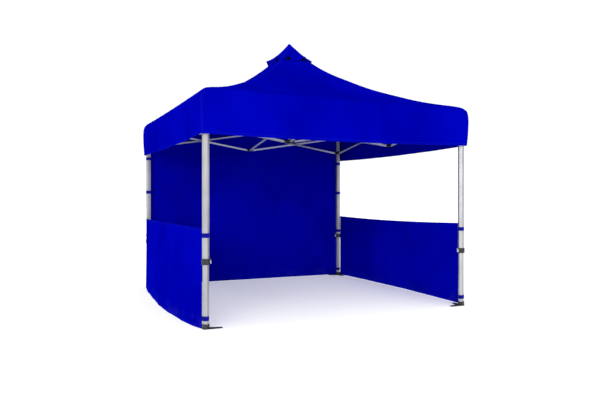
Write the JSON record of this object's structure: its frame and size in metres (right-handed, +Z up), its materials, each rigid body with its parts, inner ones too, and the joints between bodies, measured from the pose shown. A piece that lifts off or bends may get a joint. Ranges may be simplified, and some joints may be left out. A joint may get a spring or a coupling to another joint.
{
  "type": "pop up canopy",
  "caption": "Square pop-up canopy on a folding scissor-truss frame, with telescopic legs, a vented peaked roof, one full back wall and two half walls.",
  "frame": {"origin": "on the ground, at the centre of the four legs", "axes": "+Z up; the open front faces -Y; +X to the right seen from the front"},
  "size_m": [3.048, 3.048, 3.106],
  "materials": {
    "canopy_cloth": "royal blue coated polyester",
    "wall_cloth": "royal blue coated polyester",
    "bar_tube": "satin anodised aluminium",
    "leg_tube": "satin anodised aluminium",
    "mast_tube": "satin anodised aluminium",
    "lever": "grey nylon",
    "moulding": "black reinforced nylon"
  },
  "bodies": {
    "upper_hub": {"upper_hub": "moulding", "canopy": "canopy_cloth"},
    "inner_high_bar_front": {"inner_high_bar_front": "bar_tube"},
    "inner_high_bar_right": {"inner_high_bar_right": "bar_tube"},
    "inner_high_bar_back": {"inner_high_bar_back": "bar_tube"},
    "inner_high_bar_left": {"inner_high_bar_left": "bar_tube"},
    "inner_low_bar_front": {"inner_low_bar_front": "bar_tube"},
    "lower_middle_front": {"lower_middle_front": "moulding"},
    "upper_middle_front": {"upper_middle_front": "moulding"},
    "lower_hub": {"lower_hub": "moulding"},
    "low_bar_front_right": {"low_bar_front_right": "bar_tube"},
    "high_bar_front_right": {"high_bar_front_right": "bar_tube"},
    "leg_front_right": {"outer_leg_front_right": "leg_tube", "leg_fittings_front_right": "moulding"},
    "slider_front_right": {"slider_front_right": "moulding"},
    "low_bar_front_left": {"low_bar_front_left": "bar_tube"},
    "high_bar_front_left": {"high_bar_front_left": "bar_tube"},
    "leg_front_left": {"outer_leg_front_left": "leg_tube", "leg_fittings_front_left": "moulding"},
    "slider_front_left": {"slider_front_left": "moulding"},
    "inner_low_bar_right": {"inner_low_bar_right": "bar_tube"},
    "lower_middle_right": {"lower_middle_right": "moulding"},
    "upper_middle_right": {"upper_middle_right": "moulding", "half_wall_right": "wall_cloth"},
    "low_bar_right_back": {"low_bar_right_back": "bar_tube"},
    "high_bar_right_back": {"high_bar_right_back": "bar_tube"},
    "low_bar_right_front": {"low_bar_right_front": "bar_tube"},
    "high_bar_right_front": {"high_bar_right_front": "bar_tube"},
    "inner_low_bar_back": {"inner_low_bar_back": "bar_tube"},
    "lower_middle_back": {"lower_middle_back": "moulding"},
    "upper_middle_back": {"upper_middle_back": "moulding", "back_wall": "wall_cloth"},
    "low_bar_back_left": {"low_bar_back_left": "bar_tube"},
    "high_bar_back_left": {"high_bar_back_left": "bar_tube"},
    "leg_back_left": {"outer_leg_back_left": "leg_tube", "leg_fittings_back_left": "moulding"},
    "slider_back_left": {"slider_back_left": "moulding"},
    "low_bar_back_right": {"low_bar_back_right": "bar_tube"},
    "high_bar_back_right": {"high_bar_back_right": "bar_tube"},
    "leg_back_right": {"outer_leg_back_right": "leg_tube", "leg_fittings_back_right": "moulding"},
    "slider_back_right": {"slider_back_right": "moulding"},
    "inner_low_bar_left": {"inner_low_bar_left": "bar_tube"},
    "lower_middle_left": {"lower_middle_left": "moulding"},
    "upper_middle_left": {"upper_middle_left": "moulding", "half_wall_left": "wall_cloth"},
    "low_bar_left_front": {"low_bar_left_front": "bar_tube"},
    "high_bar_left_front": {"high_bar_left_front": "bar_tube"},
    "low_bar_left_back": {"low_bar_left_back": "bar_tube"},
    "high_bar_left_back": {"high_bar_left_back": "bar_tube"},
    "upper_mast": {"upper_mast": "mast_tube", "vent_cap": "canopy_cloth"},
    "inner_leg_front_right": {"inner_leg_front_right": "leg_tube"},
    "lock_lever_front_right": {"lock_lever_front_right": "lever"},
    "inner_leg_back_right": {"inner_leg_back_right": "leg_tube"},
    "lock_lever_back_right": {"lock_lever_back_right": "lever"},
    "inner_leg_back_left": {"inner_leg_back_left": "leg_tube"},
    "lock_lever_back_left": {"lock_lever_back_left": "lever"},
    "inner_leg_front_left": {"inner_leg_front_left": "leg_tube"},
    "lock_lever_front_left": {"lock_lever_front_left": "lever"}
  },
  "joints": [
    {"name": "fold", "type": "hinge", "parent": "upper_hub", "child": "inner_high_bar_front", "pos_m": [0.0066, -0.055, 2.125], "axis": [1, 0, 0], "range_deg": [0, 77], "deforming": ["canopy", "vent_cap", "back_wall", "half_wall_left", "half_wall_right"]},
    {"name": "fold_inner_high_right", "type": "hinge", "parent": "upper_hub", "child": "inner_high_bar_right", "pos_m": [0.055, 0.0066, 2.125], "axis": [0, 1, 0], "range_deg": [0, 77]},
    {"name": "fold_inner_high_back", "type": "hinge", "parent": "upper_hub", "child": "inner_high_bar_back", "pos_m": [-0.0066, 0.055, 2.125], "axis": [-1, 0, 0], "range_deg": [0, 77]},
    {"name": "fold_inner_high_left", "type": "hinge", "parent": "upper_hub", "child": "inner_high_bar_left", "pos_m": [-0.055, -0.0066, 2.125], "axis": [0, -1, 0], "range_deg": [0, 77]},
    {"name": "cross_inner_front", "type": "hinge", "parent": "inner_high_bar_front", "child": "inner_low_bar_front", "pos_m": [0, -0.7425, 2.0125], "axis": [1, 0, 0], "range_deg": [-154, 0]},
    {"name": "fold_lower_middle_front", "type": "hinge", "parent": "inner_high_bar_front", "child": "lower_middle_front", "pos_m": [0.0066, -1.43, 1.9], "axis": [1, 0, 0], "range_deg": [-77, 0]},
    {"name": "fold_upper_middle_front", "type": "hinge", "parent": "inner_low_bar_front", "child": "upper_middle_front", "pos_m": [-0.0066, -1.43, 2.125], "axis": [1, 0, 0], "range_deg": [0, 77]},
    {"name": "fold_lower_hub", "type": "hinge", "parent": "inner_low_bar_front", "child": "lower_hub", "pos_m": [-0.0066, -0.055, 1.9], "axis": [1, 0, 0], "range_deg": [0, 77]},
    {"name": "fold_low_bar_front_right", "type": "hinge", "parent": "upper_middle_front", "child": "low_bar_front_right", "pos_m": [0.03, -1.4534, 2.125], "axis": [0, 1, 0], "range_deg": [0, 77]},
    {"name": "cross_front_right", "type": "hinge", "parent": "low_bar_front_right", "child": "high_bar_front_right", "pos_m": [0.7175, -1.46, 2.0125], "axis": [0, 1, 0], "range_deg": [-154, 0]},
    {"name": "fold_leg_front_right", "type": "hinge", "parent": "high_bar_front_right", "child": "leg_front_right", "pos_m": [1.405, -1.4666, 2.125], "axis": [0, 1, 0], "range_deg": [0, 77]},
    {"name": "fold_slider_front_right", "type": "hinge", "parent": "low_bar_front_right", "child": "slider_front_right", "pos_m": [1.405, -1.4534, 1.9], "axis": [0, 1, 0], "range_deg": [-77, 0]},
    {"name": "fold_low_bar_front_left", "type": "hinge", "parent": "upper_middle_front", "child": "low_bar_front_left", "pos_m": [-0.03, -1.4534, 2.125], "axis": [0, -1, 0], "range_deg": [0, 77]},
    {"name": "cross_front_left", "type": "hinge", "parent": "low_bar_front_left", "child": "high_bar_front_left", "pos_m": [-0.7175, -1.46, 2.0125], "axis": [0, -1, 0], "range_deg": [-154, 0]},
    {"name": "fold_leg_front_left", "type": "hinge", "parent": "high_bar_front_left", "child": "leg_front_left", "pos_m": [-1.405, -1.4666, 2.125], "axis": [0, -1, 0], "range_deg": [0, 77]},
    {"name": "fold_slider_front_left", "type": "hinge", "parent": "low_bar_front_left", "child": "slider_front_left", "pos_m": [-1.405, -1.4534, 1.9], "axis": [0, -1, 0], "range_deg": [-77, 0]},
    {"name": "cross_inner_right", "type": "hinge", "parent": "inner_high_bar_right", "child": "inner_low_bar_right", "pos_m": [0.7425, 0, 2.0125], "axis": [0, 1, 0], "range_deg": [-154, 0]},
    {"name": "fold_lower_middle_right", "type": "hinge", "parent": "inner_high_bar_right", "child": "lower_middle_right", "pos_m": [1.43, 0.0066, 1.9], "axis": [0, 1, 0], "range_deg": [-77, 0]},
    {"name": "fold_upper_middle_right", "type": "hinge", "parent": "inner_low_bar_right", "child": "upper_middle_right", "pos_m": [1.43, -0.0066, 2.125], "axis": [0, 1, 0], "range_deg": [0, 77]},
    {"name": "fold_low_bar_right_back", "type": "hinge", "parent": "upper_middle_right", "child": "low_bar_right_back", "pos_m": [1.4534, 0.03, 2.125], "axis": [-1, 0, 0], "range_deg": [0, 77]},
    {"name": "cross_right_back", "type": "hinge", "parent": "low_bar_right_back", "child": "high_bar_right_back", "pos_m": [1.46, 0.7175, 2.0125], "axis": [-1, 0, 0], "range_deg": [-154, 0]},
    {"name": "fold_low_bar_right_front", "type": "hinge", "parent": "upper_middle_right", "child": "low_bar_right_front", "pos_m": [1.4534, -0.03, 2.125], "axis": [1, 0, 0], "range_deg": [0, 77]},
    {"name": "cross_right_front", "type": "hinge", "parent": "low_bar_right_front", "child": "high_bar_right_front", "pos_m": [1.46, -0.7175, 2.0125], "axis": [1, 0, 0], "range_deg": [-154, 0]},
    {"name": "cross_inner_back", "type": "hinge", "parent": "inner_high_bar_back", "child": "inner_low_bar_back", "pos_m": [0, 0.7425, 2.0125], "axis": [-1, 0, 0], "range_deg": [-154, 0]},
    {"name": "fold_lower_middle_back", "type": "hinge", "parent": "inner_high_bar_back", "child": "lower_middle_back", "pos_m": [-0.0066, 1.43, 1.9], "axis": [-1, 0, 0], "range_deg": [-77, 0]},
    {"name": "fold_upper_middle_back", "type": "hinge", "parent": "inner_low_bar_back", "child": "upper_middle_back", "pos_m": [0.0066, 1.43, 2.125], "axis": [-1, 0, 0], "range_deg": [0, 77]},
    {"name": "fold_low_bar_back_left", "type": "hinge", "parent": "upper_middle_back", "child": "low_bar_back_left", "pos_m": [-0.03, 1.4534, 2.125], "axis": [0, -1, 0], "range_deg": [0, 77]},
    {"name": "cross_back_left", "type": "hinge", "parent": "low_bar_back_left", "child": "high_bar_back_left", "pos_m": [-0.7175, 1.46, 2.0125], "axis": [0, -1, 0], "range_deg": [-154, 0]},
    {"name": "fold_leg_back_left", "type": "hinge", "parent": "high_bar_back_left", "child": "leg_back_left", "pos_m": [-1.405, 1.4666, 2.125], "axis": [0, -1, 0], "range_deg": [0, 77]},
    {"name": "fold_slider_back_left", "type": "hinge", "parent": "low_bar_back_left", "child": "slider_back_left", "pos_m": [-1.405, 1.4534, 1.9], "axis": [0, -1, 0], "range_deg": [-77, 0]},
    {"name": "fold_low_bar_back_right", "type": "hinge", "parent": "upper_middle_back", "child": "low_bar_back_right", "pos_m": [0.03, 1.4534, 2.125], "axis": [0, 1, 0], "range_deg": [0, 77]},
    {"name": "cross_back_right", "type": "hinge", "parent": "low_bar_back_right", "child": "high_bar_back_right", "pos_m": [0.7175, 1.46, 2.0125], "axis": [0, 1, 0], "range_deg": [-154, 0]},
    {"name": "fold_leg_back_right", "type": "hinge", "parent": "high_bar_back_right", "child": "leg_back_right", "pos_m": [1.405, 1.4666, 2.125], "axis": [0, 1, 0], "range_deg": [0, 77]},
    {"name": "fold_slider_back_right", "type": "hinge", "parent": "low_bar_back_right", "child": "slider_back_right", "pos_m": [1.405, 1.4534, 1.9], "axis": [0, 1, 0], "range_deg": [-77, 0]},
    {"name": "cross_inner_left", "type": "hinge", "parent": "inner_high_bar_left", "child": "inner_low_bar_left", "pos_m": [-0.7425, 0, 2.0125], "axis": [0, -1, 0], "range_deg": [-154, 0]},
    {"name": "fold_lower_middle_left", "type": "hinge", "parent": "inner_high_bar_left", "child": "lower_middle_left", "pos_m": [-1.43, -0.0066, 1.9], "axis": [0, -1, 0], "range_deg": [-77, 0]},
    {"name": "fold_upper_middle_left", "type": "hinge", "parent": "inner_low_bar_left", "child": "upper_middle_left", "pos_m": [-1.43, 0.0066, 2.125], "axis": [0, -1, 0], "range_deg": [0, 77]},
    {"name": "fold_low_bar_left_front", "type": "hinge", "parent": "upper_middle_left", "child": "low_bar_left_front", "pos_m": [-1.4534, -0.03, 2.125], "axis": [1, 0, 0], "range_deg": [0, 77]},
    {"name": "cross_left_front", "type": "hinge", "parent": "low_bar_left_front", "child": "high_bar_left_front", "pos_m": [-1.46, -0.7175, 2.0125], "axis": [1, 0, 0], "range_deg": [-154, 0]},
    {"name": "fold_low_bar_left_back", "type": "hinge", "parent": "upper_middle_left", "child": "low_bar_left_back", "pos_m": [-1.4534, 0.03, 2.125], "axis": [-1, 0, 0], "range_deg": [0, 77]},
    {"name": "cross_left_back", "type": "hinge", "parent": "low_bar_left_back", "child": "high_bar_left_back", "pos_m": [-1.46, 0.7175, 2.0125], "axis": [-1, 0, 0], "range_deg": [-154, 0]},
    {"name": "mast_slide", "type": "slide", "parent": "upper_hub", "child": "upper_mast", "axis": [0, 0, -1], "range_m": [0, 0.6501]},
    {"name": "extend_front_right", "type": "slide", "parent": "leg_front_right", "child": "inner_leg_front_right", "axis": [0, 0, 1], "range_m": [0, 0.45]},
    {"name": "unlock_front_right", "type": "hinge", "parent": "leg_front_right", "child": "lock_lever_front_right", "pos_m": [1.416, -1.46, 0.633], "axis": [0, 1, 0], "range_deg": [0, 14], "stiffness_Nm_per_rad": 1.2, "springref_deg": -5.73},
    {"name": "extend_back_right", "type": "slide", "parent": "leg_back_right", "child": "inner_leg_back_right", "axis": [0, 0, 1], "range_m": [0, 0.45]},
    {"name": "unlock_back_right", "type": "hinge", "parent": "leg_back_right", "child": "lock_lever_back_right", "pos_m": [1.416, 1.46, 0.633], "axis": [0, 1, 0], "range_deg": [0, 14], "stiffness_Nm_per_rad": 1.2, "springref_deg": -5.73},
    {"name": "extend_back_left", "type": "slide", "parent": "leg_back_left", "child": "inner_leg_back_left", "axis": [0, 0, 1], "range_m": [0, 0.45]},
    {"name": "unlock_back_left", "type": "hinge", "parent": "leg_back_left", "child": "lock_lever_back_left", "pos_m": [-1.416, 1.46, 0.633], "axis": [0, -1, 0], "range_deg": [0, 14], "stiffness_Nm_per_rad": 1.2, "springref_deg": -5.73},
    {"name": "extend_front_left", "type": "slide", "parent": "leg_front_left", "child": "inner_leg_front_left", "axis": [0, 0, 1], "range_m": [0, 0.45]},
    {"name": "unlock_front_left", "type": "hinge", "parent": "leg_front_left", "child": "lock_lever_front_left", "pos_m": [-1.416, -1.46, 0.633], "axis": [0, -1, 0], "range_deg": [0, 14], "stiffness_Nm_per_rad": 1.2, "springref_deg": -5.73}
  ],
  "couplings": [
    {"joint": "fold_inner_high_right", "follows": "fold", "ratio": 1},
    {"joint": "fold_inner_high_back", "follows": "fold", "ratio": 1},
    {"joint": "fold_inner_high_left", "follows": "fold", "ratio": 1},
    {"joint": "cross_inner_front", "follows": "fold", "ratio": -2},
    {"joint": "fold_lower_middle_front", "follows": "fold", "ratio": -1},
    {"joint": "fold_upper_middle_front", "follows": "fold", "ratio": 1},
    {"joint": "fold_lower_hub", "follows": "fold", "ratio": 1},
    {"joint": "fold_low_bar_front_right", "follows": "fold", "ratio": 1},
    {"joint": "cross_front_right", "follows": "fold", "ratio": -2},
    {"joint": "fold_leg_front_right", "follows": "fold", "ratio": 1},
    {"joint": "fold_slider_front_right", "follows": "fold", "ratio": -1},
    {"joint": "fold_low_bar_front_left", "follows": "fold", "ratio": 1},
    {"joint": "cross_front_left", "follows": "fold", "ratio": -2},
    {"joint": "fold_leg_front_left", "follows": "fold", "ratio": 1},
    {"joint": "fold_slider_front_left", "follows": "fold", "ratio": -1},
    {"joint": "cross_inner_right", "follows": "fold", "ratio": -2},
    {"joint": "fold_lower_middle_right", "follows": "fold", "ratio": -1},
    {"joint": "fold_upper_middle_right", "follows": "fold", "ratio": 1},
    {"joint": "fold_low_bar_right_back", "follows": "fold", "ratio": 1},
    {"joint": "cross_right_back", "follows": "fold", "ratio": -2},
    {"joint": "fold_low_bar_right_front", "follows": "fold", "ratio": 1},
    {"joint": "cross_right_front", "follows": "fold", "ratio": -2},
    {"joint": "cross_inner_back", "follows": "fold", "ratio": -2},
    {"joint": "fold_lower_middle_back", "follows": "fold", "ratio": -1},
    {"joint": "fold_upper_middle_back", "follows": "fold", "ratio": 1},
    {"joint": "fold_low_bar_back_left", "follows": "fold", "ratio": 1},
    {"joint": "cross_back_left", "follows": "fold", "ratio": -2},
    {"joint": "fold_leg_back_left", "follows": "fold", "ratio": 1},
    {"joint": "fold_slider_back_left", "follows": "fold", "ratio": -1},
    {"joint": "fold_low_bar_back_right", "follows": "fold", "ratio": 1},
    {"joint": "cross_back_right", "follows": "fold", "ratio": -2},
    {"joint": "fold_leg_back_right", "follows": "fold", "ratio": 1},
    {"joint": "fold_slider_back_right", "follows": "fold", "ratio": -1},
    {"joint": "cross_inner_left", "follows": "fold", "ratio": -2},
    {"joint": "fold_lower_middle_left", "follows": "fold", "ratio": -1},
    {"joint": "fold_upper_middle_left", "follows": "fold", "ratio": 1},
    {"joint": "fold_low_bar_left_front", "follows": "fold", "ratio": 1},
    {"joint": "cross_left_front", "follows": "fold", "ratio": -2},
    {"joint": "fold_low_bar_left_back", "follows": "fold", "ratio": 1},
    {"joint": "cross_left_back", "follows": "fold", "ratio": -2},
    {"joint": "mast_slide", "follows": "fold", "m_per_rad": 0.4837}
  ]
}
